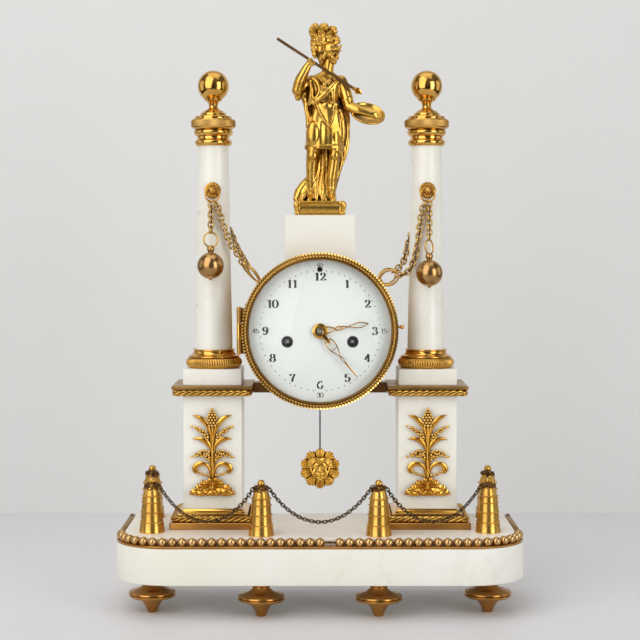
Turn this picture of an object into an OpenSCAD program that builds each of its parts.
// Portico clock: a marble and gilt bronze mantel clock. A round drum holds the dial and movement
// between two columns, a figure stands on the drum, and a chain fence runs round the plinth.
// Millimetres, +Z up, front towards -Y, origin at the middle of the footprint on the table.

/* [Plinth] */
// Width of the marble plinth
base_w = 355; // [340:1:380]
// Depth of the marble plinth
base_d = 134; // [130:1:150]
// Thickness of the marble plinth
base_h = 39.5; // [30:0.5:50]
// Radius of the plinth's two front corners
base_corner_r = 48; // [40:1:54]
// Diameter of a bead in the beaded border
bead_d = 7.4; // [6:0.1:7.8]
// Distance between neighbouring beads
bead_pitch = 8.3; // [8.1:0.1:10]
// Width of the rebate that the border sits in
rebate_w = 7.6; // [6:0.1:8]
// Depth of that rebate below the plinth's top
rebate_h = 8; // [7:0.1:10]

/* [Feet and bollards] */
// Height of a foot
foot_h = 30.5; // [26:0.5:36]
// Diameter of a foot's disc
foot_disc_d = 41; // [36:1:46]
// Height of a bollard
bollard_h = 48; // [44:1:52]
// Diameter of a bollard's lowest ring
bollard_d = 22; // [20:0.5:24]
// Radius of the stud that joins a bollard to its foot
stud_r = 2; // [1.5:0.1:2.5]
// Distance of the two middle bollards from the centre line
mid_bollard_x = 50.5; // [46:0.5:54]
// Distance of the middle bollards' axes from the plinth's front edge
mid_bollard_inset = 22.5; // [21:0.5:26]
// Distance of the front end bollards' axes from the plinth's ends
end_bollard_side = 31.5; // [28:0.5:36]
// Distance of the front end bollards' axes from the plinth's front edge
end_bollard_inset = 38.5; // [36:0.5:42]
// Distance of the rear bollards' axes from the plinth's ends
rear_bollard_side = 24.5; // [22:0.5:28]
// Distance of the rear bollards' axes from the plinth's back edge
rear_bollard_inset = 21; // [20.5:0.5:26]
// Thickness of the fence chain
fence_chain_d = 2.6; // [2:0.1:3]
// How far the front lengths of fence chain hang down
fence_sag = 29.5; // [20:0.5:34]
// How far the end lengths of fence chain hang down
fence_end_sag = 20.5; // [14:0.5:28]

/* [Pedestals] */
// Distance between the two columns' axes
column_spacing = 189; // [184:1:200]
// Distance of the columns' axes behind the plinth's middle
portico_y = 18; // [14:1:22]
// Side of the bronze slab under a pedestal
slab_w = 75; // [72:0.5:80]
// Thickness of that slab
slab_h = 6; // [4:0.5:8]
// Diameter of the rope moulding
rope_d = 6; // [5:0.1:7]
// Height of the sloped collar between the lower rope and the marble
collar_h = 4.6; // [3:0.1:6]
// Side of the marble pedestal
die_w = 51.4; // [48:0.2:54]
// Height of the marble pedestal
die_h = 100; // [80:1:120]
// Side of the bronze plate on top of a pedestal
cornice_w = 70.5; // [68:0.5:74]
// Thickness of that plate
cornice_h = 3.2; // [2.4:0.1:5]
// Height of the marble block under a column
block_h = 14; // [10:0.5:20]

/* [Columns] */
// Height of the turned bronze base of a column
column_base_h = 16.6; // [14:0.2:20]
// Diameter of that base
column_base_d = 49.4; // [46:0.2:51]
// Height of the marble shaft
shaft_h = 180; // [160:1:200]
// Diameter of the shaft at its foot
shaft_foot_d = 33; // [31:0.2:35]
// Diameter of the shaft at its top
shaft_top_d = 26.7; // [25:0.1:28]
// Height of the bronze capital
capital_h = 31; // [26:0.5:36]
// Diameter of the capital's band
capital_d = 38.7; // [36:0.1:42]
// Diameter of the finial's ball
finial_d = 27.6; // [22:0.2:32]
// Height of the finial's stem under the ball
finial_stem_h = 8; // [6:0.5:12]
// Radius of the rod that clamps a column together
tie_rod_r = 2.5; // [2:0.1:3]

/* [Swags and pendants] */
// Height of a rosette above the foot of the shaft
rosette_rise = 140.4; // [130:0.5:146]
// Diameter of a rosette
rosette_d = 15; // [13:0.5:17]
// Radius of a ring on a rosette, at the middle of its wire
ring_r = 6.2; // [6:0.1:6.6]
// Radius of a chain link, at the middle of its wire
link_r = 2.3; // [2.2:0.05:2.5]
// Radius of a chain link's wire
link_wire = 0.65; // [0.5:0.05:0.7]
// Diameter of a pendant's ball
pendant_d = 23.4; // [20:0.2:26]
// Number of links in the left and right pendants
pendant_links = [9, 11];

/* [Drum] */
// Outer radius of the drum
drum_r = 64; // [62:0.5:66]
// Depth of the drum
drum_depth = 74; // [73:0.5:80]
// Thickness of the drum's wall
drum_wall = 1.5; // [1.2:0.1:2]
// Height of the drum's centre above the pedestal plates
drum_rise = 48.6; // [46:0.2:54]
// Distance of the drum's front edge in front of the columns' axes
drum_front = 37; // [36:0.5:38]
// Height of a bracket that carries the drum
bracket_h = 9; // [7:0.5:11]
// Depth of a bracket that carries the drum
bracket_d = 16; // [12:0.5:22]

/* [Figure] */
// Width of the marble block under the figure
figure_block_w = 61; // [56:0.5:66]
// Depth of that block
figure_block_d = 46; // [40:1:50]
// Height of that block above the drum
figure_block_rise = 36.6; // [30:0.2:44]
// Width of the figure's own base
figure_base_w = 46; // [44:0.5:48]

/* [Dial and door] */
// Thickness of the enamel dial
dial_t = 1.2; // [1:0.1:1.6]
// How far the dial bulges forward
dial_bulge = 2.5; // [1.5:0.1:3]
// Width of the bezel's ring
bezel_w = 6.6; // [6:0.1:7.4]
// Depth of the bezel's ring
bezel_d = 10.6; // [9:0.1:12]
// Thickness of the glass
glass_t = 1.6; // [1.2:0.1:2]
// How far the glass bulges in front of the bezel
glass_bulge = 7; // [5:0.5:9]
// Length of the bezel's hinge
hinge_l = 40; // [34:1:46]
// Sideways distance of the winding holes from the centre
winding_x = 28.3; // [28:0.1:29.5]
// Distance of the winding holes below the centre
winding_drop = 9.3; // [8.5:0.1:10]
// Diameter of a winding hole
winding_hole_d = 9.4; // [8:0.1:10.5]
// Length of the hour hand
hour_hand_l = 42.5; // [38:0.5:46]
// Length of the minute hand
minute_hand_l = 52.5; // [48:0.5:56]

/* [Movement] */
// Clear distance between the movement's plates
plate_gap = 27.5; // [27.5:0.1:28.5]
// Thickness of a plate
plate_t = 2.5; // [2:0.1:2.6]
// Radius of the back plate
back_plate_r = 54; // [53.5:0.1:55]
// Radial running clearance of an arbor in its hole
running = 0.05; // [0.02:0.01:0.08]
// Height of the pendulum's pivot above the dial's centre
pivot_rise = 48; // [47:0.1:48.6]
// Distance from the pendulum's pivot to the middle of its bob
pendulum_l = 175; // [165:0.5:178]
// Diameter of the pendulum's bob
bob_d = 36.4; // [32:0.2:40]
// Radius of the bell
bell_r = 38; // [35:0.5:40]

/* [Hidden] */
$fn = 64;

marble = [0.93, 0.92, 0.89];
gilt = [0.80, 0.58, 0.22];
brass = [0.78, 0.62, 0.32];
steel = [0.35, 0.36, 0.40];
enamel = [0.93, 0.95, 0.93];

// Clearance of a fixed pin in its hole, and of a turned seat against its neighbour
seat = 0.1;
// Gap between two links of a chain
link_gap = 0.13;
// Gap left between curved faces that face each other
air = 0.3;

base_top = foot_h + base_h;
back_y = base_d / 2;
front_y = -base_d / 2;

bollard_places = [
  for (side = [-1, 1]) [side * (base_w / 2 - rear_bollard_side), back_y - rear_bollard_inset],
  for (side = [-1, 1]) [side * (base_w / 2 - end_bollard_side), front_y + end_bollard_inset],
  for (side = [-1, 1]) [side * mid_bollard_x, front_y + mid_bollard_inset]
];
// Each fence chain runs between two bollards, given by their numbers in the list above
fence_spans = [[0, 2, fence_end_sag], [2, 4, fence_sag], [4, 5, fence_sag - 1],
               [5, 3, fence_sag], [3, 1, fence_end_sag]];
bollard_neck_r = 3.4;
// A bollard's dome: its widest radius, foot and rise
dome_r = bollard_d / 2 - 2.8;
dome_z = base_top + bollard_h * 0.696;
dome_h = bollard_h * 0.129;
// A fence chain lies on the dome from the neck down to where it hangs free
dome_clear = fence_chain_d / 2 + air;
fence_leave = 45;
fence_loop_z = over_dome(fence_leave);

column_x = column_spacing / 2;
foot_core_w = slab_w - 2 * rope_d - 1.4;
slab_top = base_top + slab_h;
die_z = slab_top + rope_d + collar_h;
cornice_z = die_z + die_h;
cornice_top = cornice_z + rope_d + cornice_h;
cornice_core_w = cornice_w - 2 * rope_d;
block_z = cornice_top;
column_base_z = block_z + block_h;
shaft_z = column_base_z + column_base_h;
capital_z = shaft_z + shaft_h;
finial_z = capital_z + capital_h;
finial_ball_z = finial_z + finial_stem_h + finial_d / 2;
rod_hole_r = tie_rod_r + air;
rod_nut_h = 5;
rod_nut_r = 2 * tie_rod_r;
rod_top = finial_z + finial_stem_h;

function shaft_radius(z) =
  (shaft_foot_d + (shaft_top_d - shaft_foot_d) * (z - shaft_z) / shaft_h) / 2;
rosette_z = shaft_z + rosette_rise;
rosette_t = 2.5;
rosette_back = shaft_radius(rosette_z - rosette_d / 2) + 0.05;
rosette_neck_r = 1.5;
rosette_neck_l = 2.6;
rosette_pin_r = 1.5;
rosette_pin_l = 9;
ring_wire = 0.7;
ring_off = rosette_back + rosette_t + rosette_neck_l / 2;
ring_drop = ring_r - ring_wire - rosette_neck_r - seat / 2;
link_pitch = 2 * link_r - 2 * link_wire - link_gap;
swag_hook_angle = 55;

drum_z = cornice_top + drum_rise;
drum_y0 = portico_y - drum_front;
drum_y1 = drum_y0 + drum_depth;
drum_in_r = drum_r - drum_wall;
eye_angle = 38;
eye_r = 2.6;
eye_wire = 0.8;
eye_dist = drum_r + eye_r + 0.2;
eye_off = 6;
long_link_l = 17;
long_link_w = 6.6;
long_link_wire = 0.8;

dial_r = drum_r - 0.2;
dial_front = drum_y0 - dial_t;
bezel_r = drum_r + 4.2;
bezel_y1 = dial_front - 0.25;
bezel_y0 = bezel_y1 - bezel_d;
bezel_in_r = bezel_r - bezel_w;
hinge_x = -bezel_r - 2;
hinge_y = drum_y0 - 1.5;
knuckle_r = 2.2;
hinge_pin_r = 1;
hinge_gap = 0.3;
rear_door_t = 2.2;
rear_door_y = drum_y1 + 0.3;
rear_hinge_x = -drum_r - 2.5;
rear_hinge_y = rear_door_y + rear_door_t / 2;

// The movement's layers, counted back from the front plate
plate_y0 = drum_y0 + 11;
plate_y1 = plate_y0 + plate_t;
back_plate_y0 = plate_y1 + plate_gap;
back_plate_y1 = back_plate_y0 + plate_t;
front_plate_r = drum_in_r - 2.5;
flange_in_r = front_plate_r - 3.5;
flange_t = 2.5;

// Wheel and pinion tooth counts, and the modules that put each pair at its centre distance
barrel_n = 87;
centre_pinion_n = 12;
centre_n = 80;
third_pinion_n = 8;
third_n = 84;
escape_pinion_n = 7;
escape_n = 36;
pin_n = 60;
fly_pinion_n = 8;
cannon_n = 12;
minute_n = 36;
minute_pinion_n = 10;
hour_n = 40;

barrel_at = [winding_x, -winding_drop];
strike_at = [-winding_x, -winding_drop];
barrel_m = 2 * norm(barrel_at) / (barrel_n + centre_pinion_n);
centre_m = 0.45;
third_m = 0.38;
pin_m = 0.3;
third_dist = centre_m * (centre_n + third_pinion_n) / 2;
escape_dist = third_m * (third_n + escape_pinion_n) / 2;
third_at = [third_dist * cos(60), third_dist * sin(60)];
escape_at = [0, third_at[1] + sqrt(escape_dist * escape_dist - third_at[0] * third_at[0])];
pin_at = strike_at + norm(barrel_at) * [cos(75), sin(75)];
fly_dist = pin_m * (pin_n + fly_pinion_n) / 2;
fly_at = pin_at + fly_dist * [cos(110), sin(110)];
motion_dist = 12;
cannon_m = 2 * motion_dist / (cannon_n + minute_n);
hour_m = 2 * motion_dist / (minute_pinion_n + hour_n);
minute_at = motion_dist * [cos(225), sin(225)];
hammer_at = [-36, 20];
pivot_at = [0, pivot_rise];
escape_r = 10;

centre_arbor_r = 1;
cannon_r = 1.75;
pipe_in_r = cannon_r + running;
pipe_r = 2.6;
arbor_r = 0.8;
winding_arbor_r = 2.2;
pendulum_y = back_plate_y1 + 4;
rod_r = 0.75;
slot_half = 13;

hour_hand_y = dial_front - dial_bulge - 2;
minute_hand_y = hour_hand_y - 2.4;
hand_t = 0.7;
hour_hand_angle = 81;
minute_hand_angle = 141;

figure_z = drum_z + drum_r + figure_block_rise;
figure_y = portico_y;

function bearing(a, b) = atan2(b[1] - a[1], b[0] - a[0]);
// Angle of a tooth on wheel b, so that it meshes with wheel a, whose tooth is at angle pa
function mesh_phase(a, b, pa, na, nb) =
  bearing(a, b) + 180 - (0.5 - (bearing(a, b) - pa) * na / 360) * 360 / nb;

barrel_phase = mesh_phase([0, 0], barrel_at, 0, centre_pinion_n, barrel_n);
third_phase = mesh_phase([0, 0], third_at, 0, centre_n, third_pinion_n);
escape_phase = mesh_phase(third_at, escape_at, 0, third_n, escape_pinion_n);
pin_phase = mesh_phase(strike_at, pin_at, 0, barrel_n, centre_pinion_n);
fly_phase = mesh_phase(pin_at, fly_at, 0, pin_n, fly_pinion_n);
minute_phase = mesh_phase([0, 0], minute_at, 0, cannon_n, minute_n);
hour_phase = mesh_phase(minute_at, [0, 0], 0, minute_pinion_n, hour_n);

// Small shapes that many pieces share

module torus(r, wire) rotate_extrude($fn = 40) translate([r, 0]) circle(r = wire, $fn = 24);

module mirror_right(side) mirror([side > 0 ? 1 : 0, 0, 0]) children();

module at_column(side) translate([side * column_x, portico_y, 0]) children();

module rod_y(x, z, y0, y1, r)
  translate([x, y0, drum_z + z]) rotate([-90, 0, 0]) cylinder(r = r, h = y1 - y0);

// Extrudes a flat outline, drawn as seen from the front, from depth y0 to y1
module plate_y(x, z, y0, y1)
  translate([x, y1, drum_z + z]) rotate([90, 0, 0]) linear_extrude(y1 - y0) children();

// Turns a profile about the dial's axis. Its second coordinate counts towards the front
module turn_y(z = 0) translate([0, 0, drum_z + z]) rotate([90, 0, 0]) rotate_extrude($fn = 96) children();

function polar(r, a) = [r * cos(a), r * sin(a)];

// Tooth outline: narrow tips and wide gaps, so that a pair in mesh keeps its backlash
module gear_outline(n, m, phase, root_share = 0.28) {
  pitch_r = n * m / 2;
  tooth = 360 / n;
  polygon([
    for (i = [0:n - 1])
      for (k = [[-root_share, -1.3], [-0.11, 0.85], [0.11, 0.85], [root_share, -1.3]])
        polar(pitch_r + k[1] * m, phase + (i + k[0]) * tooth)
  ]);
}

module pinion_outline(n, m, phase) gear_outline(n, m, phase, 0.19);

// Wheel with its crossings cut out between rim, arms and hub
module wheel_outline(n, m, phase, hub_r, arms) {
  rim_in = n * m / 2 - 3.4 * m;
  difference() {
    gear_outline(n, m, phase);
    difference() {
      circle(r = rim_in);
      circle(r = hub_r);
      for (i = [0:arms - 1]) rotate(i * 360 / arms) translate([0, -0.9]) square([rim_in + 0.2, 1.8]);
    }
  }
}

module hex_nut(r, h, bore) difference() {
  cylinder(r = r, h = h, $fn = 6);
  translate([0, 0, -1]) cylinder(r = bore, h = h + 2);
}

// Plinth, border, feet and fence

// Plan of the plinth drawn in by inset, with its back edge moved out by back_extra
module base_outline(inset = 0, back_extra = 0) {
  half_w = base_w / 2 - inset;
  r = base_corner_r - inset;
  y0 = front_y + inset;
  y1 = back_y + back_extra;
  translate([-half_w, y0 + r]) square([2 * half_w, y1 - y0 - r]);
  translate([-half_w + r, y0]) square([2 * (half_w - r), r + 1]);
  for (s = [-1, 1]) translate([s * (half_w - r), y0 + r]) circle(r = r);
}

module base_plinth() color(marble) difference() {
  union() {
    translate([0, 0, foot_h]) linear_extrude(base_h - rebate_h) base_outline();
    translate([0, 0, base_top - rebate_h - 1]) linear_extrude(rebate_h + 1) base_outline(rebate_w);
  }
  for (p = bollard_places) translate([p[0], p[1], foot_h - 1]) cylinder(r = stud_r + seat, h = base_h + 2);
  for (s = [-1, 1]) at_column(s) translate([0, 0, foot_h - 1]) cylinder(r = rod_hole_r, h = base_h + 2);
}

border_plate_h = 2;
border_wall = 1.2;
bead_line = rebate_w - seat - bead_d / 2;
bead_z = base_top - rebate_h + border_plate_h - 0.8 + bead_d / 2;
corner_bead_r = base_corner_r - bead_line;
corner_beads = floor(corner_bead_r * PI / 2 / bead_pitch);
straight_l = base_w - 2 * base_corner_r;
straight_beads = floor(straight_l / bead_pitch);

module border_strip(inset, h) linear_extrude(h) difference() {
  base_outline(inset);
  base_outline(rebate_w - 0.02, 1);
}

module base_beading() color(gilt) {
  translate([0, 0, base_top - rebate_h]) border_strip(0, border_plate_h);
  translate([0, 0, base_top - rebate_h]) border_strip(rebate_w - border_wall, rebate_h);
  // Beads along the front
  for (i = [0:straight_beads - 1])
    translate([(i - (straight_beads - 1) / 2) * straight_l / straight_beads, front_y + bead_line, bead_z])
      sphere(d = bead_d);
  for (s = [-1, 1]) {
    // Beads round the front corners
    for (i = [0:corner_beads - 1]) {
      a = (i + 0.5) * 90 / corner_beads;
      translate([s * (base_w / 2 - base_corner_r + corner_bead_r * sin(a)),
                 front_y + base_corner_r - corner_bead_r * cos(a), bead_z])
        sphere(d = bead_d);
    }
    // Plain rod along the side
    translate([s * (base_w / 2 - bead_line), front_y + base_corner_r, bead_z - 0.4])
      rotate([-90, 0, 0]) cylinder(d = bead_d - 0.8, h = base_d - base_corner_r);
  }
}

module foot_profile() polygon(concat(
  [[0, 0], [4, 0], [4.6, 0.6]],
  [for (i = [0:6]) [4.8 + 4.2 * pow(i / 6, 1.6), 1 + i * foot_h * 0.055]],
  [[foot_disc_d / 2 - 5, foot_h * 0.41]],
  [for (a = [-70:20:70]) [foot_disc_d / 2 - 1.9 + 1.9 * cos(a), foot_h * 0.5 + 1.9 * sin(a)]],
  [[foot_disc_d / 2 - 4, foot_h * 0.62], [8.4, foot_h * 0.72], [7, foot_h * 0.8], [7.8, foot_h * 0.88],
   [7.8, foot_h], [0, foot_h]]
));

module feet() color(gilt) for (p = bollard_places) translate([p[0], p[1], 0]) difference() {
  rotate_extrude() foot_profile();
  translate([0, 0, foot_h - 8]) cylinder(r = stud_r + seat, h = 9);
}

module bollard_profile() {
  r = bollard_d / 2;
  step = bollard_h / 48;
  polygon(concat(
    [[0, 0], [r, 0], [r - 0.4, 7.4 * step]],
    [for (a = [-80:40:80]) [r - 1.2 + 0.7 * cos(a), (8.3 + 0.8 * sin(a)) * step]],
    [[r - 1.6, 10 * step], [r - 1.9, 17.6 * step], [r - 1.2, 18.2 * step], [r - 1.2, 19.2 * step],
     [r - 2, 19.8 * step], [r - 2.3, 27.2 * step], [r - 1.6, 27.8 * step], [r - 1.6, 28.8 * step],
     [r - 2.6, 29.4 * step], [r - 2.7, 31.4 * step], [r - 2, 32 * step], [r - 2, 33 * step]],
    [for (a = [0:22.5:90])
      [bollard_neck_r + (dome_r - bollard_neck_r) * cos(a), dome_z - base_top + dome_h * sin(a)]],
    [[bollard_neck_r - 0.2, 41.8 * step]],
    [for (a = [-50:20:90]) [3.6 * cos(a), (bollard_h / step - 3.6 + 3.6 * sin(a)) * step]],
    [[0, bollard_h]]
  ));
}

// A stud through the marble screws each bollard to the foot below it
module bollards() color(gilt) for (p = bollard_places) translate([p[0], p[1], 0]) union() {
  translate([0, 0, base_top]) rotate_extrude() bollard_profile();
  translate([0, 0, foot_h - 7]) cylinder(r = stud_r, h = base_h + 8);
}

// Shape of a hanging chain: the constant of the catenary with this span and sag, by halving
function catenary(span, sag, lo = 5, hi = 4000, n = 40) =
  n == 0 ? (lo + hi) / 2
  : let(a = (lo + hi) / 2, x = span / 2 / a, drop = a * ((exp(x) + exp(-x)) / 2 - 1))
    drop > sag ? catenary(span, sag, a, hi, n - 1) : catenary(span, sag, lo, a, n - 1);

function hanging_point(p, q, a, t) =
  let(span = norm(q - p), x = (t - 0.5) * span / a, h = span / 2 / a)
  concat(p + (q - p) * t, [fence_loop_z + a * ((exp(x) + exp(-x)) / 2 - (exp(h) + exp(-h)) / 2)]);

// One tube swept along points, with rings square to the path and closed ends
module swept_tube(points, r, sides = 8) {
  count = len(points);
  function ahead(i) = points[min(i + 1, count - 1)] - points[max(i - 1, 0)];
  function across(i) = let(d = ahead(i), n = [-d[1], d[0], 0]) n / norm(n);
  function upward(i) = let(u = cross(ahead(i), across(i))) u / norm(u);
  rings = [
    for (i = [0:count - 1])
      for (k = [0:sides - 1])
        points[i] + r * (cos(360 * k / sides) * across(i) + sin(360 * k / sides) * upward(i))
  ];
  walls = [
    for (i = [0:count - 2])
      for (k = [0:sides - 1])
        let(a = i * sides + k, b = i * sides + (k + 1) % sides)
        for (f = [[a, b + sides, b], [a, a + sides, b + sides]]) f
  ];
  caps = [
    for (k = [1:sides - 2]) [0, k, k + 1],
    for (k = [1:sides - 2]) let(e = (count - 1) * sides) [e, e + k + 1, e + k]
  ];
  polyhedron(rings, concat(walls, caps));
}

// Distance from a bollard's axis, and height, of a chain lying on its dome at angle a above the dome's foot
function on_dome(a) = bollard_neck_r + (dome_r - bollard_neck_r + dome_clear) * cos(a);
function over_dome(a) = dome_z + (dome_h + dome_clear) * sin(a);

// Each length of chain hangs from the necks of two bollards, over their domes
module fence_chains() color([0.45, 0.34, 0.2]) for (s = fence_spans) {
  from = bollard_places[s[0]];
  to = bollard_places[s[1]];
  dir = (to - from) / norm(to - from);
  p = from + dir * on_dome(fence_leave);
  q = to - dir * on_dome(fence_leave);
  a = catenary(norm(q - p), s[2]);
  swept_tube(concat(
    [for (b = [72, 59]) concat(from + dir * on_dome(b), [over_dome(b)])],
    [for (i = [0:16]) hanging_point(p, q, a, i / 16)],
    [for (b = [59, 72]) concat(to - dir * on_dome(b), [over_dome(b)])]
  ), fence_chain_d / 2);
}

// Pedestals

module square_slab(w, z0, z1) translate([-w / 2, -w / 2, z0]) cube([w, w, z1 - z0]);

// Frame of rope moulding, as a round bar with rounded corners
module rope_frame(core_w, z) {
  half = core_w / 2 + rope_d / 2 + 0.05;
  for (a = [0:90:270]) rotate(a) translate([half, -half, z]) {
    rotate([-90, 0, 0]) cylinder(d = rope_d - 0.1, h = 2 * half);
    sphere(d = rope_d - 0.1);
  }
}

module rope_mouldings() color(gilt) for (s = [-1, 1]) at_column(s) {
  rope_frame(foot_core_w, slab_top + rope_d / 2);
  rope_frame(cornice_core_w, cornice_z + rope_d / 2);
}

module rod_hole(z0, z1) translate([0, 0, z0 - 1]) cylinder(r = rod_hole_r, h = z1 - z0 + 2);

module pedestal_foot(side) color(gilt) at_column(side) difference() {
  union() {
    square_slab(slab_w, base_top, slab_top);
    square_slab(foot_core_w, slab_top, slab_top + rope_d);
    translate([0, 0, slab_top + rope_d])
      rotate(45) cylinder(d1 = foot_core_w * sqrt(2), d2 = (die_w + 1) * sqrt(2), h = collar_h, $fn = 4);
  }
  rod_hole(base_top, die_z);
}

module pedestal_die(side) color(marble) at_column(side) difference() {
  square_slab(die_w, die_z, cornice_z);
  rod_hole(die_z, cornice_z);
}

module cornice(side) color(gilt) at_column(side) difference() {
  union() {
    square_slab(cornice_core_w, cornice_z, cornice_z + rope_d);
    square_slab(cornice_w, cornice_z + rope_d, cornice_top);
  }
  rod_hole(cornice_z, cornice_top);
}

module column_blocks() color(marble) for (s = [-1, 1]) at_column(s) difference() {
  square_slab(die_w, block_z, column_base_z);
  rod_hole(block_z, column_base_z);
}

// Leaf outline that grows along +X, bends upward by bend and has the given length and width
module leaf(l, w, bend) {
  steps = 8;
  function spine(t) = [l * t, bend * t * t];
  function half(t) = w / 2 * sin(180 * pow(t, 0.7));
  polygon(concat(
    [for (i = [0:steps]) let(t = i / steps) spine(t) + [0, half(t) + 0.25]],
    [for (i = [steps:-1:0]) let(t = i / steps) spine(t) - [0, half(t) + 0.25]]
  ));
}

mount_h = 79.6;
mount_t = 2.6;

// Gilt spray of leaves and berries: pairs of leaves and fruit on a stem over a leafy foot
module floral_outline() {
  translate([-1.4, 10]) square([2.8, mount_h - 20]);
  for (s = [0, 1]) mirror([s, 0, 0]) {
    for (row = [[mount_h - 17, 17, 4.4, 9], [mount_h - 40, 19, 4.6, 8]])
      translate([0, row[0] - 4]) rotate(18) leaf(row[1], row[2], row[3]);
    for (row = [[mount_h - 27, 27], [mount_h - 45, 12]])
      translate([0, row[0]]) rotate(row[1]) translate([9.5, 0]) scale([1, 0.42]) circle(r = 9.4);
    translate([0, 12]) rotate(62) leaf(17, 4.4, -14);
    translate([9, 24]) circle(r = 5);
    translate([0, 1]) rotate(10) leaf(21, 7, -2);
    translate([0, 4]) rotate(34) leaf(16, 6, -3);
  }
  translate([0, mount_h - 10.5]) scale([0.62, 1]) circle(r = 10.5);
  translate([0, 5]) circle(r = 5.5);
}

module floral_mount(side) color(gilt) at_column(side)
  translate([0, -die_w / 2, die_z + 10.5]) rotate([90, 0, 0]) {
    linear_extrude(mount_t) floral_outline();
    translate([0, mount_h - 10.5, mount_t]) scale([5.6, 9.6, 2.2]) sphere(r = 1, $fn = 12);
    for (s = [-1, 1]) {
      for (row = [[mount_h - 27, 27], [mount_h - 45, 12]])
        translate([s * 9.4 * cos(row[1]), row[0] + 9.4 * sin(row[1]), mount_t])
          rotate(s * row[1]) scale([8.6, 3.6, 1.8]) sphere(r = 1, $fn = 12);
    }
  }

// Columns

module column_base(side) color(gilt) at_column(side) difference() {
  r = column_base_d / 2;
  h = column_base_h;
  rotate_extrude() translate([0, column_base_z]) polygon(concat(
    [[0, 0], [r - 2, 0]],
    [for (a = [-70:20:70]) [r - 3.6 + 3.6 * cos(a), h * 0.29 + h * 0.28 * sin(a)]],
    [[r - 2.4, h * 0.6], [r - 2.6, h * 0.66]],
    [for (a = [0:15:90])
      [r - 3 - (r - 3 - shaft_foot_d / 2 - 1.6) * sin(a), h * 0.67 + h * 0.24 * (1 - cos(a))]],
    [[shaft_foot_d / 2 + 1.9, h * 0.93], [shaft_foot_d / 2 + 1.9, h], [0, h]]
  ));
  rod_hole(column_base_z, shaft_z);
}

module rosette_pin_hole(dir) translate([0, 0, rosette_z]) rotate([dir * 90, 0, 0])
  cylinder(r = rosette_pin_r + seat, h = rosette_back + 5);

module column_shaft(side) color(marble) at_column(side) difference() {
  translate([0, 0, shaft_z]) cylinder(d1 = shaft_foot_d, d2 = shaft_top_d, h = shaft_h);
  rod_hole(shaft_z, capital_z);
  for (dir = [-1, 1]) difference() {
    rosette_pin_hole(dir);
    translate([0, 0, rosette_z - 10]) cylinder(r = rosette_back - rosette_pin_l - seat, h = 20);
  }
}

module capital(side) color(gilt) at_column(side) difference() {
  r = capital_d / 2;
  h = capital_h;
  rotate_extrude() translate([0, capital_z]) polygon(concat(
    [[0, 0], [r - 4.4, 0]],
    [for (a = [-60:30:60]) [r - 4.6 + 1.6 * cos(a), h * (0.1 + 0.085 * sin(a))]],
    [[r - 5.2, h * 0.21], [r - 5.2, h * 0.27], [r - 3.2, h * 0.31]],
    [for (a = [-60:30:90]) [r - 3.4 + 1.4 * cos(a), h * (0.4 + 0.06 * sin(a))]],
    [[r - 2.2, h * 0.47], [r, h * 0.52], [r, h * 0.74], [r - 0.8, h * 0.77], [r - 3, h * 0.78],
     [r - 4, h * 0.84], [r - 8, h * 0.88], [r - 10, h * 0.96], [r - 10.4, h], [0, h]]
  ));
  rod_hole(capital_z, finial_z);
}

module finial(side) color(gilt) at_column(side) difference() {
  s = finial_stem_h;
  union() {
    rotate_extrude() translate([0, finial_z]) polygon([
      [0, 0], [7.4, 0], [6.4, s * 0.12], [4.4, s * 0.3], [3.9, s * 0.55], [4.4, s * 0.8],
      [5.6, s * 1], [7.6, s * 1.12], [8, s * 1.3], [7, s * 1.5], [0, s * 1.6]
    ]);
    translate([0, 0, finial_ball_z]) sphere(d = finial_d);
  }
  translate([0, 0, finial_z - 1]) cylinder(r = tie_rod_r + seat, h = rod_top + 0.5 - finial_z + 1);
}

// A rod runs up through each column, with a nut under the plinth and the finial on top
module tie_rods() color(steel) for (s = [-1, 1]) at_column(s) {
  translate([0, 0, foot_h - rod_nut_h - 2]) cylinder(r = tie_rod_r, h = rod_top - foot_h + rod_nut_h + 2);
  translate([0, 0, foot_h - rod_nut_h]) hex_nut(rod_nut_r, rod_nut_h, tie_rod_r + running);
}

// Rosettes, swags and pendants

module rosette() {
  rotate([90, 0, 0]) translate([0, 0, rosette_back]) {
    rotate_extrude() polygon(concat(
      [[0, 0], [rosette_d / 2 - 0.4, 0], [rosette_d / 2, 0.5], [rosette_d / 2 - 0.8, 1.4],
       [rosette_neck_r + 1.6, rosette_t], [rosette_neck_r, rosette_t],
       [rosette_neck_r, rosette_t + rosette_neck_l]],
      [for (a = [-50:20:90]) [2.6 * cos(a), rosette_t + rosette_neck_l + 2 + 2.6 * sin(a)]]
    ));
    translate([0, 0, -rosette_pin_l]) cylinder(r = rosette_pin_r, h = rosette_pin_l + 1);
  }
  translate([0, -ring_off, -ring_drop]) rotate([90, 0, 0]) torus(ring_r, ring_wire);
}

module column_rosettes() color(gilt) for (s = [-1, 1]) at_column(s) translate([0, 0, rosette_z]) {
  rosette();
  mirror([0, 1, 0]) rosette();
}

// Chain of round links from the wire at one point to the wire at another, each link turned a quarter.
// It hangs by sag below the straight line
module link_strand(from, to, from_wire, to_wire, sag) {
  l = norm(to - from);
  dir = (to - from) / l;
  first = link_r - link_wire - from_wire - link_gap;
  last = link_r - link_wire - to_wire - link_gap;
  count = ceil((l - first - last) / link_pitch) + 1;
  step = (l - first - last) / (count - 1);
  for (i = [0:count - 1]) {
    t = i / (count - 1);
    slope = -4 * sag * (1 - 2 * t) / l;
    d = dir + [0, 0, slope];
    translate(from + dir * (first + i * step) - [0, 0, 4 * sag * t * (1 - t)])
      rotate([0, -atan2(d[2], norm([d[0], d[1]])), atan2(d[1], d[0])])
        rotate([90 * i, 0, 0]) torus(link_r, link_wire);
  }
}

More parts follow.
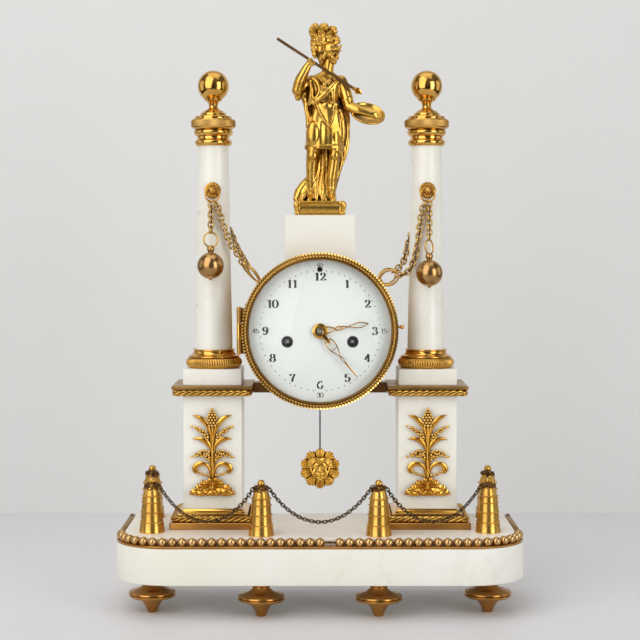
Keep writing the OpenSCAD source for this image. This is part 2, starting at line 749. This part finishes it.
// Oval link of the given length and width, its plane spanned by dir and the depth direction
module long_link(from, dir) {
  half = long_link_l / 2 - long_link_w / 2;
  wire_r = long_link_w / 2 - long_link_wire;
  translate(from + dir * (long_link_l / 2 - 2 * long_link_wire - eye_wire - link_gap))
    rotate([0, -atan2(dir[2], norm([dir[0], dir[1]])), atan2(dir[1], dir[0])]) {
      for (s = [-1, 1]) {
        translate([s * half, 0, 0]) rotate(s * 90 - 180) rotate_extrude(angle = 180, $fn = 40)
          translate([wire_r, 0]) circle(r = long_link_wire, $fn = 24);
        translate([-half, s * wire_r, 0]) rotate([0, 90, 0]) cylinder(r = long_link_wire, h = 2 * half);
      }
    }
}

// Two strands on one side, from the front and rear rosette rings to two eyes on the drum, drawn for
// the left and mirrored for the right
module swag_chains(side, sag) color(gilt) mirror_right(side) for (dir = [-1, 1]) {
  ring_at = [-column_x + ring_r * cos(swag_hook_angle), portico_y + dir * ring_off,
             rosette_z - ring_drop - ring_r * sin(swag_hook_angle)];
  eye_at = [-eye_dist * cos(eye_angle), portico_y - 4 + dir * eye_off, drum_z + eye_dist * sin(eye_angle)];
  lead = [ring_at[0] - eye_at[0], 0, ring_at[2] - eye_at[2]];
  hook_at = eye_at + eye_r * lead / norm(lead);
  pull = (ring_at - hook_at) / norm(ring_at - hook_at);
  long_link(hook_at, pull);
  link_strand(ring_at, hook_at + pull * (long_link_l - 3 * long_link_wire - eye_wire - link_gap), ring_wire,
              long_link_wire, dir < 0 ? sag : 1.5);
}

pendant_hook_angle = 100;
pendant_top = rosette_z - ring_drop - ring_r * sin(pendant_hook_angle);
pendant_ring_r = 6.5;
pendant_ring_wire = 0.75;
pendant_bead_r = 3.5;

function pendant_chain_l(links) =
  2 * (link_r - link_wire - link_gap / 2) - ring_wire - pendant_ring_wire + (links - 1) * link_pitch;
function pendant_ball_drop(links) =
  pendant_chain_l(links) + 2 * pendant_ring_r + 2 * pendant_bead_r - 2 + pendant_d / 2;

// The pendant hangs from its ring with the ball against the column, so its chain leans forward a little
function pendant_lean(links) =
  let(drop = pendant_ball_drop(links),
      clear = shaft_radius(pendant_top - drop) + pendant_d / 2 + air + 0.1)
  asin((clear - ring_off) / drop);

module ball_pendant(side, links) color(gilt) mirror_right(side)
  translate([-column_x + ring_r * cos(pendant_hook_angle), portico_y - ring_off, pendant_top])
    rotate([-pendant_lean(links), 0, 0]) {
      chain_l = pendant_chain_l(links);
      drop = pendant_ball_drop(links);
      for (i = [0:links - 1])
        translate([0, 0, -(link_r - link_wire - ring_wire - link_gap / 2) - i * link_pitch])
          rotate([0, 90, 90 * i]) torus(link_r, link_wire);
      translate([0, 0, -chain_l - pendant_ring_r])
        rotate([90, 0, (links + 1) % 2 * 90]) torus(pendant_ring_r, pendant_ring_wire);
      translate([0, 0, -chain_l - 2 * pendant_ring_r - pendant_bead_r + 1.2]) sphere(r = pendant_bead_r);
      translate([0, 0, -drop]) sphere(d = pendant_d);
      translate([0, 0, -drop - pendant_d / 2 - 1.6]) cylinder(r1 = 0.5, r2 = 2.6, h = 2.4);
    }

// Drum, doors and figure

module hinge_tube(x, y, z0, z1) translate([x, y, drum_z + z0]) difference() {
  cylinder(r = knuckle_r, h = z1 - z0);
  translate([0, 0, -1]) cylinder(r = hinge_pin_r + running, h = z1 - z0 + 2);
}

// Knuckles of the drum above and below a door's middle knuckle, each with its leaf
module drum_knuckles(x, y, leaf_y, leaf_t) for (s = [-1, 1]) {
  z0 = s > 0 ? hinge_l / 6 + hinge_gap / 2 : -hinge_l / 2;
  z1 = s > 0 ? hinge_l / 2 : -hinge_l / 6 - hinge_gap / 2;
  hinge_tube(x, y, z0, z1);
  difference() {
    translate([x, leaf_y, drum_z + z0])
      cube([-x - sqrt(pow(drum_r, 2) - pow(hinge_l / 2, 2)) + 0.6, leaf_t, z1 - z0]);
    translate([x, y, drum_z - hinge_l]) cylinder(r = hinge_pin_r + running, h = 2 * hinge_l);
  }
}

module drum_case() color(gilt) {
  difference() {
    union() {
      rod_y(0, 0, drum_y0, drum_y1, drum_r);
      drum_knuckles(hinge_x, hinge_y, drum_y0, 1.4);
      drum_knuckles(rear_hinge_x, rear_hinge_y, drum_y1 - 1.4, 1.4);
    }
    rod_y(0, 0, drum_y0 - 1, plate_y1, drum_in_r);
    rod_y(0, 0, plate_y1 - 1, plate_y1 + flange_t + 1, flange_in_r);
    rod_y(0, 0, plate_y1 + flange_t, drum_y1 + 1, drum_in_r);
    // Slot that the pendulum's rod swings in
    translate([-slot_half, pendulum_y - 4, drum_z - drum_r - 1]) cube([2 * slot_half, 8, 12]);
  }
  // Eyes for the swag chains
  for (s = [-1, 1])
    for (d = [-1, 1])
      translate([s * eye_dist * cos(eye_angle), portico_y - 4 + d * eye_off,
                 drum_z + eye_dist * sin(eye_angle)])
        rotate([90, 0, 0]) torus(eye_r, eye_wire);
}

// Bars from the pedestal plates that the drum rests between
module drum_brackets() color(gilt) for (s = [-1, 1]) difference() {
  reach = column_x - cornice_w / 2;
  z0 = cornice_top - bracket_h + 1;
  translate([s > 0 ? 20 : -reach, portico_y - bracket_d / 2, z0]) cube([reach - 20, bracket_d, bracket_h]);
  rod_y(0, 0, drum_y0 - 1, drum_y1 + 1, drum_r);
}

module figure_block() color(marble) difference() {
  bottom = drum_z + sqrt(pow(drum_r, 2) - pow(figure_block_w / 2, 2)) - 3;
  translate([-figure_block_w / 2, figure_y - figure_block_d / 2, bottom])
    cube([figure_block_w, figure_block_d, figure_z - bottom]);
  rod_y(0, 0, drum_y0 - 1, drum_y1 + 1, drum_r);
}

module ball_at(p, r) translate(p) sphere(r = r, $fn = 14);

module limb(p, q, rp, rq) hull() {
  ball_at(p, rp);
  ball_at(q, rq);
}

figure_base_h = 12.5;
hand_at = [-8.3, -9, 136];
// The spear runs through the raised hand, along this direction
spear_dir = [74, 0, -48] / norm([74, 0, -48]);
spear_r = 1.1;
spear_back = 35;
spear_front = 54;

// Helmeted warrior in a tunic and cloak, with a round shield. The raised hand is bored for the spear
module figure() color(gilt) translate([0, figure_y, figure_z]) difference() {
  union() {
    translate([-figure_base_w / 2, -17, 0]) cube([figure_base_w, 34, figure_base_h]);
    // Legs and feet
    limb([-5, -2, 56], [-6, -1, 34], 6.6, 5.2);
    limb([-6, -1, 34], [-5, 0, 14], 5.2, 3.6);
    limb([13, -4, 56], [13.5, -6, 34], 6.6, 5.4);
    limb([13.5, -6, 34], [11, -5, 15], 5.4, 3.4);
    limb([11, -5, 15], [11.5, -13, 14.4], 3.4, 2.6);
    limb([-5, 0, 15], [-8, -9, 14.4], 3.6, 2.6);
    // Skirt of the tunic and the body
    hull() {
      translate([5, -1, 59]) scale([1, 0.62, 1]) cylinder(r = 17, h = 2, $fn = 20);
      translate([5, 0, 94]) scale([1, 0.62, 1]) cylinder(r = 11.5, h = 2, $fn = 20);
    }
    hull() {
      translate([5, 0, 94]) scale([1, 0.62, 1]) cylinder(r = 11.5, h = 2, $fn = 20);
      translate([5, 1, 118]) scale([1.35, 0.75, 0.6]) sphere(r = 12, $fn = 16);
    }
    // Cloak behind, down to the base
    hull() {
      translate([4, 8, 120]) scale([1.5, 0.4, 0.6]) sphere(r = 10, $fn = 14);
      translate([7, 9, 70]) scale([1.3, 0.45, 1]) sphere(r = 13, $fn = 14);
    }
    hull() {
      translate([7, 9, 70]) scale([1.3, 0.45, 1]) sphere(r = 13, $fn = 14);
      translate([-4, 9, 14]) scale([1.7, 0.6, 0.3]) sphere(r = 11, $fn = 14);
    }
    // Neck, head, helmet and plume
    limb([6, 1, 122], [7.5, 0, 136], 4.6, 3.8);
    translate([9.5, -1, 140]) scale([0.9, 1, 1.15]) sphere(r = 6.2, $fn = 16);
    translate([8, 0.5, 144]) scale([1.2, 1, 0.8]) sphere(r = 7.4, $fn = 16);
    hull() {
      ball_at([4, 3, 148], 5);
      ball_at([-1.5, 4, 163], 6);
      ball_at([10, 3, 164], 6);
    }
    limb([-1.5, 4, 162], [-4, 4, 142], 5.4, 3.4);
    // Raised arm
    limb([-8, 1, 119], [-18.5, -4, 110], 5, 4.2);
    limb([-18.5, -4, 110], hand_at, 4.2, 2.8);
    ball_at(hand_at, 3.6);
    // Shield arm and shield
    limb([20, 1, 117], [27, -3, 97], 4.8, 4);
    limb([27, -3, 97], [47, -6, 89.5], 4, 2.8);
    translate([42, -0.5, 90]) rotate([68, 12, 0]) scale([1, 1, 0.22]) sphere(r = 15, $fn = 20);
  }
  translate(hand_at - spear_dir * 8) rotate([0, acos(spear_dir[2]), 0]) cylinder(r = spear_r + seat, h = 70);
}

module spear() color(gilt) translate([0, figure_y, figure_z])
  translate(hand_at - spear_dir * spear_back) rotate([0, acos(spear_dir[2]), 0]) {
    cylinder(r = spear_r, h = spear_back + spear_front - 6);
    translate([0, 0, spear_back + spear_front - 7]) cylinder(r1 = spear_r, r2 = 2.4, h = 2);
    translate([0, 0, spear_back + spear_front - 5]) cylinder(r1 = 2.4, r2 = 0.2, h = 6);
  }

// Bezel, glass and rear door

glass_seat_r = bezel_in_r + 1.6;
glass_y = bezel_y0 + 4.4;

module front_bezel() color(gilt) difference() {
  union() {
    turn_y() polygon([
      [bezel_in_r, -bezel_y1], [bezel_r - 0.4, -bezel_y1], [bezel_r, -bezel_y1 + 0.6],
      [bezel_r, -bezel_y1 + 5], [bezel_r - 0.9, -bezel_y1 + 6.4], [bezel_r - 2.6, -bezel_y1 + 7],
      [bezel_r - 3.2, -bezel_y0 - 1.4],
      [bezel_in_r + 2.2, -bezel_y0], [bezel_in_r + 0.6, -bezel_y0 - 0.4], [bezel_in_r, -bezel_y0 - 1.4]
    ]);
    hinge_tube(hinge_x, hinge_y, -hinge_l / 6 + hinge_gap / 2, hinge_l / 6 - hinge_gap / 2);
    translate([hinge_x, bezel_y1 - 2.4, drum_z - hinge_l / 6 + hinge_gap / 2])
      cube([5, 2.2, hinge_l / 3 - hinge_gap]);
    // Knob that the door is pulled open by
    rod_y(bezel_r - 1, 3.5, bezel_y1 - 4, bezel_y1 - 1, 1.2);
    translate([bezel_r - 1, bezel_y1 - 2.5, drum_z + 3.5]) rotate([0, 90, 0]) cylinder(r = 1.1, h = 3.4);
    translate([bezel_r + 3, bezel_y1 - 2.5, drum_z + 3.5]) sphere(r = 2);
  }
  translate([hinge_x, hinge_y, drum_z - hinge_l]) cylinder(r = hinge_pin_r + running, h = 2 * hinge_l);
  // Groove that the glass is held in
  turn_y() translate([bezel_in_r - 1, -glass_y - seat / 2])
    square([glass_seat_r + 1 - bezel_in_r, glass_t + seat]);
}

// Radius of the sphere that a cap of this half width and height is cut from
function cap_radius(half, h) = (half * half + h * h) / (2 * h);

function cap_arc(half, h, steps) =
  let(r = cap_radius(half, h), a = asin(half / r))
  [for (i = [0:steps]) let(t = a * i / steps) [r * sin(t), h - r + r * cos(t)]];

function reversed(list) = [for (i = [len(list) - 1:-1:0]) list[i]];

module front_glass() color([0.8, 0.9, 0.9, 0.3]) turn_y() translate([0, -glass_y]) {
  half = bezel_in_r - 0.6;
  rise = glass_bulge + glass_y - bezel_y0 - glass_t;
  polygon(concat(
    [[glass_seat_r - seat, 0], [glass_seat_r - seat, glass_t], [half, glass_t]],
    reversed([for (p = cap_arc(half, rise, 12)) p + [0, glass_t]]),
    cap_arc(half - glass_t, rise - 0.2, 12)
  ));
}

module rear_door() color(gilt) difference() {
  union() {
    rod_y(0, 0, rear_door_y, rear_door_y + rear_door_t, drum_r);
    hinge_tube(rear_hinge_x, rear_hinge_y, -hinge_l / 6 + hinge_gap / 2, hinge_l / 6 - hinge_gap / 2);
    translate([rear_hinge_x, rear_hinge_y - rear_door_t / 2, drum_z - hinge_l / 6 + hinge_gap / 2])
      cube([5, rear_door_t, hinge_l / 3 - hinge_gap]);
    rod_y(drum_r - 6, 0, rear_door_y + rear_door_t - 0.5, rear_door_y + rear_door_t + 3, 1.4);
    translate([drum_r - 6, rear_door_y + rear_door_t + 4, drum_z]) sphere(r = 2.4);
  }
  translate([rear_hinge_x, rear_hinge_y, drum_z - hinge_l])
    cylinder(r = hinge_pin_r + running, h = 2 * hinge_l);
  // Holes that let the bell be heard, on two rings
  for (ring = [[16, 8, 5], [36, 16, 5]])
    for (i = [0:ring[1] - 1])
      rod_y(ring[0] * cos(i * 360 / ring[1]), ring[0] * sin(i * 360 / ring[1]),
            rear_door_y - 1, rear_door_y + rear_door_t + 1, ring[2]);
}

module hinge_pins() color(brass) for (h = [[hinge_x, hinge_y], [rear_hinge_x, rear_hinge_y]])
  translate([h[0], h[1], drum_z - hinge_l / 2 - 1]) {
    cylinder(r = hinge_pin_r, h = hinge_l + 2);
    translate([0, 0, hinge_l + 1]) cylinder(r = hinge_pin_r + 0.7, h = 1);
  }

// Dial and hands

dial_foot_r = 1.5;
dial_foot_at = 47;
regulator_z = dial_r - 10.6;

module dial() color(enamel) difference() {
  union() {
    turn_y() translate([0, -drum_y0]) polygon(concat(
      [[dial_r, 0], [dial_r, dial_t], [dial_r - 2, dial_t]],
      reversed([for (p = cap_arc(dial_r - 2, dial_bulge, 12)) p + [0, dial_t]]),
      cap_arc(dial_r - 3, dial_bulge, 12)
    ));
    for (a = [90 - 40, 90 + 40, 270])
      rod_y(dial_foot_at * cos(a), dial_foot_at * sin(a), drum_y0 - dial_bulge, plate_y0, dial_foot_r);
  }
  rod_y(0, 0, dial_front - 9, drum_y0 + 1, pipe_r + air);
  for (s = [-1, 1]) rod_y(s * winding_x, -winding_drop, dial_front - 9, drum_y0 + 1, winding_hole_d / 2);
  rod_y(0, regulator_z, dial_front - 9, drum_y0 + 1, 2);
}

// Thin bar that follows a sine bulge from start to end, as one side of a pierced loop
module bowed_bar(start, end, bulge, w, side) {
  steps = 10;
  function mid(i) = [start + (end - start) * i / steps, side * bulge * sin(180 * i / steps)];
  polygon(concat(
    [for (i = [0:steps]) mid(i) + [0, w / 2]],
    [for (i = [steps:-1:0]) mid(i) - [0, w / 2]]
  ));
}

module hand_loop(start, end, bulge, w) for (s = [-1, 1]) bowed_bar(start, end, bulge, w, s);

module hour_hand() color(gilt) plate_y(0, 0, hour_hand_y, hour_hand_y + hand_t)
  rotate(90 - hour_hand_angle) difference() {
  union() {
    circle(r = 5.6);
    hand_loop(4.5, 13.5, 2, 0.9);
    hand_loop(13, 19.5, 1.4, 0.9);
    translate([18.5, -1.6]) square([1.4, 3.2]);
    hand_loop(19, 27, 0.5, 0.9);
    hand_loop(26.6, hour_hand_l, 2.3, 0.8);
  }
  circle(r = pipe_r - 0.5);
}

module minute_hand() color(gilt) plate_y(0, 0, minute_hand_y, minute_hand_y + hand_t)
  rotate(90 - minute_hand_angle) difference() {
  union() {
    circle(r = 5.2);
    translate([3, -2]) square([8, 4]);
    translate([9.5, -3]) square([1.8, 6]);
    hand_loop(10.5, 27, 3.6, 0.9);
    translate([19.5, -3]) square([0.7, 6]);
    hand_loop(26.6, 34.5, 1, 0.9);
    translate([33.6, -0.55]) square([minute_hand_l - 33.6, 1.1]);
  }
  circle(r = centre_arbor_r + 0.1);
}

// Movement

pillar_places = [for (a = [55, 125, 250, 290]) polar(51, a)];
pillar_r = 3;

// Holes through a plate from depth y0 to y1, one for each arbor
module arbor_holes(y0, y1) {
  rod_y(0, 0, y0 - 1, y1 + 1, centre_arbor_r + running);
  for (p = [third_at, escape_at, pin_at, fly_at, hammer_at, pivot_at])
    rod_y(p[0], p[1], y0 - 1, y1 + 1, arbor_r + running);
  for (p = [barrel_at, strike_at]) rod_y(p[0], p[1], y0 - 1, y1 + 1, winding_arbor_r + running);
}

// Front plate with its riveted pillars
module front_plate() color(brass) {
  difference() {
    rod_y(0, 0, plate_y0, plate_y1, front_plate_r);
    arbor_holes(plate_y0, plate_y1);
  }
  for (p = pillar_places) rod_y(p[0], p[1], plate_y1 - 0.5, back_plate_y0, pillar_r);
  // Stud that the motion work's minute wheel turns on
  rod_y(minute_at[0], minute_at[1], plate_y0 - 8, plate_y0 + 0.5, arbor_r);
}

cock_y0 = back_plate_y1;
cock_y1 = pendulum_y + 3;

// Back plate with the cock that the pendulum hangs from
module back_plate() color(brass) {
  difference() {
    rod_y(0, 0, back_plate_y0, back_plate_y1, back_plate_r);
    arbor_holes(back_plate_y0, back_plate_y1);
  }
  translate([-7, cock_y0 - 0.2, drum_z + pivot_rise + 2]) difference() {
    cube([14, cock_y1 - cock_y0 + 0.2, 3]);
    translate([7, pendulum_y - cock_y0 + 0.2, -1]) cylinder(r = rod_r + running, h = 5);
  }
}

barrel_y0 = plate_y1 + 5.5;
barrel_y1 = barrel_y0 + 13;
barrel_drum_r = 22;
great_wheel_t = 2;

// Mainspring barrel: a hollow drum with the great wheel on its back and holes for the winding arbor
module spring_barrel(at, phase, wheel_y) difference() {
  union() {
    rod_y(at[0], at[1], barrel_y0, barrel_y1 + 0.5, barrel_drum_r);
    plate_y(at[0], at[1], wheel_y, wheel_y + great_wheel_t) gear_outline(barrel_n, barrel_m, phase);
  }
  rod_y(at[0], at[1], barrel_y0 + 1.2, barrel_y1 - 1, barrel_drum_r - 1.4);
  rod_y(at[0], at[1], barrel_y0 - 1, barrel_y1 + great_wheel_t + 1, winding_arbor_r + running);
}

module going_barrel() color(brass) spring_barrel(barrel_at, barrel_phase, barrel_y1);

// The striking train's great wheel is at its barrel's front end, clear of the centre pinion
module strike_barrel() color(brass) spring_barrel(strike_at, 0, barrel_y0);

// Winding arbor with a square end behind its hole in the dial, and the hub that the mainspring hooks on
module winding_arbor(at) color(steel) {
  rod_y(at[0], at[1], plate_y0 - 3, back_plate_y1, winding_arbor_r);
  rod_y(at[0], at[1], barrel_y0 + 1.5, barrel_y1 - 1.3, 6);
  plate_y(at[0], at[1], plate_y0 - 11, plate_y0 - 2.5) square(winding_arbor_r * 1.4, center = true);
}

centre_wheel_y = plate_y1 + 2;
wheel_t = 1.2;
third_wheel_y = barrel_y1 + great_wheel_t + 2;

module centre_wheel() color(brass) {
  rod_y(0, 0, minute_hand_y - 1.5, back_plate_y1, centre_arbor_r);
  plate_y(0, 0, centre_wheel_y, centre_wheel_y + wheel_t) wheel_outline(centre_n, centre_m, 0, 3.5, 4);
  plate_y(0, 0, barrel_y1 - 0.5, barrel_y1 + great_wheel_t + 0.5)
    pinion_outline(centre_pinion_n, barrel_m, 0);
}

cannon_y0 = plate_y0 - 3.2;
cannon_y1 = plate_y0 - 0.9;

// Tube with the cannon pinion, which grips the centre arbor and carries the minute hand
module cannon_pinion() color(brass) difference() {
  union() {
    rod_y(0, 0, minute_hand_y + hand_t, cannon_y1, cannon_r);
    plate_y(0, 0, cannon_y0, cannon_y1) pinion_outline(cannon_n, cannon_m, 0);
  }
  rod_y(0, 0, minute_hand_y, cannon_y1 + 1, centre_arbor_r + running);
}

module minute_wheel() color(brass) difference() {
  union() {
    plate_y(minute_at[0], minute_at[1], plate_y0 - 2.7, plate_y0 - 1.5)
      wheel_outline(minute_n, cannon_m, minute_phase, 2.6, 3);
    plate_y(minute_at[0], minute_at[1], plate_y0 - 6.4, plate_y0 - 2.2)
      pinion_outline(minute_pinion_n, hour_m, 0);
  }
  rod_y(minute_at[0], minute_at[1], plate_y0 - 9, plate_y0, arbor_r + running);
}

hour_wheel_y = plate_y0 - 5.6;

// Hour wheel with the pipe that carries the hour hand
module hour_wheel() color(brass) difference() {
  union() {
    plate_y(0, 0, hour_wheel_y, hour_wheel_y + wheel_t) wheel_outline(hour_n, hour_m, hour_phase, 3.4, 3);
    rod_y(0, 0, hour_hand_y + hand_t, hour_wheel_y + wheel_t, pipe_r);
  }
  rod_y(0, 0, hour_hand_y, hour_wheel_y + wheel_t + 1, pipe_in_r);
}

module third_wheel() color(brass) {
  rod_y(third_at[0], third_at[1], plate_y0, back_plate_y1, arbor_r);
  plate_y(third_at[0], third_at[1], centre_wheel_y - 0.5, centre_wheel_y + wheel_t + 0.5)
    pinion_outline(third_pinion_n, centre_m, third_phase);
  plate_y(third_at[0], third_at[1], third_wheel_y, third_wheel_y + wheel_t)
    wheel_outline(third_n, third_m, 0, 3, 4);
}

escape_wheel_y = plate_y1 + 13;
escape_tooth_h = 1.6;

// Escape wheel with raked pointed teeth. At rest each pallet stands over a gap
module escape_wheel() color(brass) {
  tooth = 360 / escape_n;
  start = 90 + tooth / 2;
  rod_y(escape_at[0], escape_at[1], plate_y0, back_plate_y1, arbor_r);
  plate_y(escape_at[0], escape_at[1], third_wheel_y - 0.6, third_wheel_y + wheel_t + 0.6)
    pinion_outline(escape_pinion_n, third_m, escape_phase);
  plate_y(escape_at[0], escape_at[1], escape_wheel_y, escape_wheel_y + 1) difference() {
    polygon([
      for (i = [0:escape_n - 1])
        for (k = [[-0.3, -escape_tooth_h], [-0.05, 0], [0.05, 0], [0.18, -escape_tooth_h]])
          polar(escape_r + k[1], start + (i + k[0]) * tooth)
    ]);
    difference() {
      circle(r = escape_r - escape_tooth_h - 1.2);
      circle(r = 2.4);
      for (i = [0:3]) rotate(i * 90) translate([0, -0.6]) square([escape_r - 2, 1.2]);
    }
  }
}

pallet_angle = 50;

// Anchor: an arbor with two pallets over the escape wheel and a crutch behind the back plate
module anchor() color(steel) {
  reach = escape_r + 0.25;
  crutch_l = 18;
  crutch_y = back_plate_y1 + 0.6;
  half = rod_r + air + 1;
  rod_y(pivot_at[0], pivot_at[1], plate_y0, pendulum_y - 1.6, arbor_r);
  rod_y(pivot_at[0], pivot_at[1], escape_wheel_y - 0.8, escape_wheel_y + 1.8, 2);
  for (s = [-1, 1]) {
    elbow = escape_at + (reach + 2.2) * [s * sin(pallet_angle), cos(pallet_angle)];
    arm = elbow - pivot_at;
    plate_y(pivot_at[0], pivot_at[1], escape_wheel_y - 0.4, escape_wheel_y + 1.4)
      rotate(atan2(arm[1], arm[0])) translate([0, -0.9]) square([norm(arm) + 0.5, 1.8]);
    plate_y(escape_at[0], escape_at[1], escape_wheel_y - 0.2, escape_wheel_y + 1.2)
      rotate(90 - s * pallet_angle) translate([reach, -0.15]) square([2.4, 0.3]);
  }
  // Crutch with a fork round the pendulum's rod
  translate([-0.8, crutch_y + 0.1, drum_z + pivot_rise - crutch_l]) cube([1.6, 0.8, crutch_l]);
  translate([-half, crutch_y, drum_z + pivot_rise - crutch_l - 1.6]) cube([2 * half, 1, 1.8]);
  for (s = [-1, 1])
    translate([s > 0 ? half - 1 : 0.1 - half, crutch_y + 0.2, drum_z + pivot_rise - crutch_l - 1.5])
      cube([0.9, pendulum_y + rod_r - back_plate_y1, 1.6]);
}

// Strike wheel with the pins that lift the hammer
module pin_wheel() color(brass) {
  rod_y(pin_at[0], pin_at[1], plate_y0, back_plate_y1, arbor_r);
  plate_y(pin_at[0], pin_at[1], barrel_y0 - 0.5, barrel_y0 + great_wheel_t + 0.5)
    pinion_outline(centre_pinion_n, barrel_m, pin_phase);
  plate_y(pin_at[0], pin_at[1], third_wheel_y, third_wheel_y + wheel_t) gear_outline(pin_n, pin_m, 0);
  for (i = [0:7]) {
    p = pin_at + polar(6.5, i * 45);
    rod_y(p[0], p[1], third_wheel_y, third_wheel_y + 3.4, 0.5);
  }
}

// Air brake of the strike train
module fly() color(brass) {
  rod_y(fly_at[0], fly_at[1], plate_y0, back_plate_y1, arbor_r);
  plate_y(fly_at[0], fly_at[1], third_wheel_y - 0.5, third_wheel_y + wheel_t + 0.5)
    pinion_outline(fly_pinion_n, pin_m, fly_phase);
  plate_y(fly_at[0], fly_at[1], barrel_y0 + great_wheel_t + 2, barrel_y1 - 2) {
    translate([-7, -0.4]) square([14, 0.8]);
    circle(r = 1.4);
  }
}

hammer_y = back_plate_y1 + 2.2;
bell_rim_y = pendulum_y + 5;
bell_depth = 15;
hammer_head_r = 2.6;

// Hammer on its arbor, resting just off the bell's rim
module hammer() color(steel) {
  head = (bell_r + hammer_head_r + 0.6) * [cos(195), sin(195)];
  arm = head - hammer_at;
  rod_y(hammer_at[0], hammer_at[1], plate_y0, hammer_y + 1.2, arbor_r);
  plate_y(hammer_at[0], hammer_at[1], hammer_y, hammer_y + 1.2) {
    circle(r = 2.2);
    rotate(atan2(arm[1], arm[0])) translate([0, -0.8]) square([norm(arm), 1.6]);
  }
  rod_y(head[0], head[1], hammer_y - 0.6, bell_rim_y + 4, hammer_head_r);
}

bell_post_at = [31, -33];
bell_t = 1.6;

// Cup bell with its screw, hung from a post on the back plate
module bell() color(brass) {
  apex = bell_rim_y + bell_depth;
  difference() {
    turn_y() translate([0, -apex]) polygon(concat(
      [for (i = [0:10]) let(a = 9 * i) [bell_r * sin(a), bell_depth * (1 - cos(a))]],
      [for (i = [10:-1:0]) let(a = 9 * i)
        [(bell_r - bell_t) * sin(a), bell_t + (bell_depth - bell_t) * (1 - cos(a))]]
    ));
    rod_y(0, 0, apex - 4, apex + 1, 2 + running);
  }
  rod_y(0, 0, apex - 4.5, apex + 1.2, 2);
  rod_y(bell_post_at[0], bell_post_at[1], back_plate_y1, apex + 2.6, 2.2);
  plate_y(0, 0, apex + 0.2, apex + 2.6) {
    rotate(atan2(bell_post_at[1], bell_post_at[0])) translate([0, -2.4]) square([norm(bell_post_at), 4.8]);
    circle(r = 3.6);
  }
}

bob_t = 4;
pendulum_eye_r = 2.2;

// Thin rod that hangs on a thread from the cock
module pendulum_rod() color(steel) {
  top = drum_z + pivot_rise;
  translate([0, pendulum_y, top - pendulum_l + bob_d / 2 - 2])
    cylinder(r = rod_r, h = pendulum_l - bob_d / 2 + 2);
  translate([0, pendulum_y, top]) cylinder(r = 0.35, h = 2.6);
  translate([0, pendulum_y, top - 4]) sphere(r = 1.6);
}

// Sunburst bob: ribbed rays round a domed mask
module pendulum_bob() color(gilt) translate([0, pendulum_y, drum_z + pivot_rise - pendulum_l]) difference() {
  union() {
    translate([0, bob_t / 2, 0]) rotate([90, 0, 0]) linear_extrude(bob_t) polygon([
      for (i = [0:47]) polar(bob_d / 2 * (i % 2 == 0 ? 1 : (i % 4 == 1 ? 0.86 : 0.93)), i * 7.5)
    ]);
    translate([0, -bob_t / 2 - 0.2, 0]) scale([0.84, 0.55, 1]) sphere(r = 9.4, $fn = 12);
  }
  translate([0, 0, bob_d / 2 - 2]) cylinder(r = rod_r + seat, h = 10);
}

base_plinth();
base_beading();
feet();
bollards();
fence_chains();
tie_rods();
rope_mouldings();
pedestal_foot(-1);  // left_pedestal_foot
pedestal_foot(1);  // right_pedestal_foot
pedestal_die(-1);  // left_pedestal_die
pedestal_die(1);  // right_pedestal_die
floral_mount(-1);  // left_floral_mount
floral_mount(1);  // right_floral_mount
cornice(-1);  // left_cornice
cornice(1);  // right_cornice
column_blocks();
column_base(-1);  // left_column_base
column_base(1);  // right_column_base
column_shaft(-1);  // left_column_shaft
column_shaft(1);  // right_column_shaft
capital(-1);  // left_capital
capital(1);  // right_capital
finial(-1);  // left_finial
finial(1);  // right_finial
column_rosettes();
swag_chains(-1, 3);  // left_swag_chains
swag_chains(1, 6);  // right_swag_chains
ball_pendant(-1, pendant_links[0]);  // left_ball_pendant
ball_pendant(1, pendant_links[1]);  // right_ball_pendant
drum_case();
drum_brackets();
figure_block();
figure();
spear();
front_bezel();
front_glass();
dial();
hour_hand();
minute_hand();
rear_door();
hinge_pins();
front_plate();
back_plate();
going_barrel();
strike_barrel();
winding_arbor(barrel_at);  // going_arbor
winding_arbor(strike_at);  // strike_arbor
centre_wheel();
cannon_pinion();
minute_wheel();
hour_wheel();
third_wheel();
escape_wheel();
anchor();
pin_wheel();
fly();
hammer();
bell();
pendulum_rod();
pendulum_bob();
